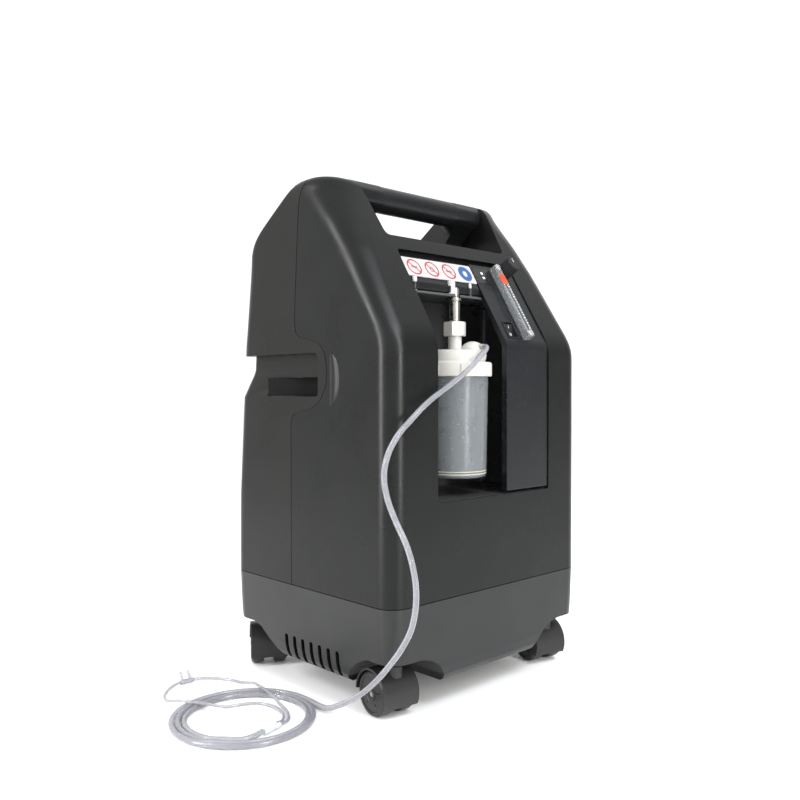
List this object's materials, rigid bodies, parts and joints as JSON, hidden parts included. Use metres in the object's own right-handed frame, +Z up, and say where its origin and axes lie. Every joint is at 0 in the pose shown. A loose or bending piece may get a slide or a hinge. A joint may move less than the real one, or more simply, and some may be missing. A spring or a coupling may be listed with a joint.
{
  "type": "oxygen concentrator",
  "caption": "Upright home oxygen concentrator on swivel casters, with a sloped control strip, a front niche holding a humidifier bottle, a top carry handle and a coiled cannula tube.",
  "frame": {"origin": "floor level at the centre of the machine's box, casters included and the free tube left out", "axes": "+Z up, -Y out of the front face with the niche and controls, +X to the side of the control strip"},
  "size_m": [0.5194, 0.3806, 0.617],
  "materials": {
    "casing": "fine-textured satin charcoal moulding",
    "trim": "satin black moulding",
    "liner": "semi-gloss black moulding",
    "panel": "semi-gloss dark grey strip",
    "nickel": "plated, satin bright",
    "label": null,
    "black_gloss": "gloss black",
    "black_plastic": "matte black",
    "clear_plastic": "clear moulding",
    "steel": "plain turned steel",
    "white_plastic": "ivory semi-gloss",
    "jar_plastic": "frosted blue-grey clear moulding",
    "water": "still water",
    "foam": "open-cell foam and felt",
    "machine_aluminium": "cast and sheet aluminium",
    "rubber": "matte black rubber",
    "board": "green laminate",
    "tubing": "clear soft vinyl with a faint lavender tint",
    "caster_plastic": "dark warm grey nylon"
  },
  "bodies": {
    "cabinet": {"base_tub": "casing", "front_cover": "casing", "rear_shell": "casing", "carry_handle": "trim", "outlet_block": "trim", "rear_grille": "trim", "fan_frame": "trim", "alcove_liner": "liner", "control_panel": "panel", "outlet_tube": "nickel", "label_plate": "label", "indicator_window": "black_gloss", "switch_bezel": "black_plastic", "power_inlet": "black_plastic", "flowmeter_body": "clear_plastic", "humidifier_dip_tube": "clear_plastic", "humidifier_relief_tube": "clear_plastic", "y_connector": "clear_plastic", "nasal_prongs": "clear_plastic", "humidifier_lid": "white_plastic", "humidifier_water": "water", "cabinet_filter": "foam", "intake_filter": "foam", "compressor": "machine_aluminium", "chassis_deck": "machine_aluminium", "sieve_bed_left": "machine_aluminium", "sieve_bed_right": "machine_aluminium", "product_tank": "machine_aluminium", "valve_manifold": "machine_aluminium", "compressor_mount_left": "rubber", "compressor_mount_right": "rubber", "circuit_board": "board", "oxygen_tube_drop": "tubing", "oxygen_tube_coil": "tubing", "cannula_strand_left": "tubing", "cannula_strand_right": "tubing"},
    "flow_knob": {"flowmeter_knob": "black_plastic"},
    "flow_float": {"flowmeter_float": "steel"},
    "rocker": {"power_rocker": "black_gloss"},
    "breaker": {"breaker_button": "white_plastic"},
    "nut": {"humidifier_nut": "white_plastic"},
    "jar": {"humidifier_jar": "jar_plastic"},
    "fan": {"fan_impeller": "trim"},
    "caster_front_left": {"caster_front_left_fork": "caster_plastic", "caster_front_left_axle": "steel"},
    "wheel_front_left_left": {"caster_front_left_wheel_left": "caster_plastic"},
    "wheel_front_left_right": {"caster_front_left_wheel_right": "caster_plastic"},
    "caster_front_right": {"caster_front_right_fork": "caster_plastic", "caster_front_right_axle": "steel"},
    "wheel_front_right_left": {"caster_front_right_wheel_left": "caster_plastic"},
    "wheel_front_right_right": {"caster_front_right_wheel_right": "caster_plastic"},
    "caster_rear_left": {"caster_rear_left_fork": "caster_plastic", "caster_rear_left_axle": "steel"},
    "wheel_rear_left_left": {"caster_rear_left_wheel_left": "caster_plastic"},
    "wheel_rear_left_right": {"caster_rear_left_wheel_right": "caster_plastic"},
    "caster_rear_right": {"caster_rear_right_fork": "caster_plastic", "caster_rear_right_axle": "steel"},
    "wheel_rear_right_left": {"caster_rear_right_wheel_left": "caster_plastic"},
    "wheel_rear_right_right": {"caster_rear_right_wheel_right": "caster_plastic"}
  },
  "joints": [
    {"name": "caster_front_left_swivel", "type": "hinge", "parent": "cabinet", "child": "caster_front_left", "pos_m": [-0.137, -0.1284, 0.05], "axis": [0, 0, 1], "continuous": true},
    {"name": "wheel_front_left_left_spin", "type": "hinge", "parent": "caster_front_left", "child": "wheel_front_left_left", "pos_m": [-0.13554, -0.11448, 0.025], "axis": [0.9945, -0.1045, 0], "continuous": true},
    {"name": "wheel_front_left_right_spin", "type": "hinge", "parent": "caster_front_left", "child": "wheel_front_left_right", "pos_m": [-0.13554, -0.11448, 0.025], "axis": [0.9945, -0.1045, 0], "continuous": true},
    {"name": "caster_front_right_swivel", "type": "hinge", "parent": "cabinet", "child": "caster_front_right", "pos_m": [0.137, -0.1284, 0.05], "axis": [0, 0, 1], "continuous": true},
    {"name": "wheel_front_right_left_spin", "type": "hinge", "parent": "caster_front_right", "child": "wheel_front_right_left", "pos_m": [0.14039, -0.11482, 0.025], "axis": [0.9703, -0.2419, 0], "continuous": true},
    {"name": "wheel_front_right_right_spin", "type": "hinge", "parent": "caster_front_right", "child": "wheel_front_right_right", "pos_m": [0.14039, -0.11482, 0.025], "axis": [0.9703, -0.2419, 0], "continuous": true},
    {"name": "caster_rear_left_swivel", "type": "hinge", "parent": "cabinet", "child": "caster_rear_left", "pos_m": [-0.137, 0.1136, 0.05], "axis": [0, 0, 1], "continuous": true},
    {"name": "wheel_rear_left_left_spin", "type": "hinge", "parent": "caster_rear_left", "child": "wheel_rear_left_left", "pos_m": [-0.12979, 0.1256, 0.025], "axis": [0.8572, -0.515, 0], "continuous": true},
    {"name": "wheel_rear_left_right_spin", "type": "hinge", "parent": "caster_rear_left", "child": "wheel_rear_left_right", "pos_m": [-0.12979, 0.1256, 0.025], "axis": [0.8572, -0.515, 0], "continuous": true},
    {"name": "caster_rear_right_swivel", "type": "hinge", "parent": "cabinet", "child": "caster_rear_right", "pos_m": [0.137, 0.1136, 0.05], "axis": [0, 0, 1], "continuous": true},
    {"name": "wheel_rear_right_left_spin", "type": "hinge", "parent": "caster_rear_right", "child": "wheel_rear_right_left", "pos_m": [0.13221, 0.12676, 0.025], "axis": [0.9397, 0.342, 0], "continuous": true},
    {"name": "wheel_rear_right_right_spin", "type": "hinge", "parent": "caster_rear_right", "child": "wheel_rear_right_right", "pos_m": [0.13221, 0.12676, 0.025], "axis": [0.9397, 0.342, 0], "continuous": true},
    {"name": "flow_knob_turn", "type": "hinge", "parent": "cabinet", "child": "flow_knob", "pos_m": [0.084, -0.10889, 0.51958], "axis": [0, -0.8527, 0.5224], "range_deg": [0, 720]},
    {"name": "flow_float_rise", "type": "slide", "parent": "cabinet", "child": "flow_float", "axis": [0, 0.5224, 0.8527], "range_m": [0, 0.07]},
    {"name": "power_rocker_tilt", "type": "hinge", "parent": "cabinet", "child": "rocker", "pos_m": [0.042, -0.14279, 0.43362], "axis": [1, 0, 0], "range_deg": [-27, 0]},
    {"name": "breaker_press", "type": "slide", "parent": "cabinet", "child": "breaker", "axis": [0, -1, 0], "range_m": [0, 0.003], "stiffness_N_per_m": 150},
    {"name": "humidifier_nut_turn", "type": "hinge", "parent": "cabinet", "child": "nut", "pos_m": [-0.022, -0.1124, 0.4355], "axis": [0, 0, 1], "continuous": true},
    {"name": "humidifier_jar_turn", "type": "hinge", "parent": "cabinet", "child": "jar", "pos_m": [-0.022, -0.1124, 0.318], "axis": [0, 0, 1], "continuous": true},
    {"name": "fan_spin", "type": "hinge", "parent": "cabinet", "child": "fan", "pos_m": [0, 0.0426, 0.204], "axis": [0, 0, 1], "continuous": true}
  ],
  "couplings": [
    {"joint": "flow_float_rise", "follows": "flow_knob_turn", "m_per_rad": 0.00557}
  ]
}
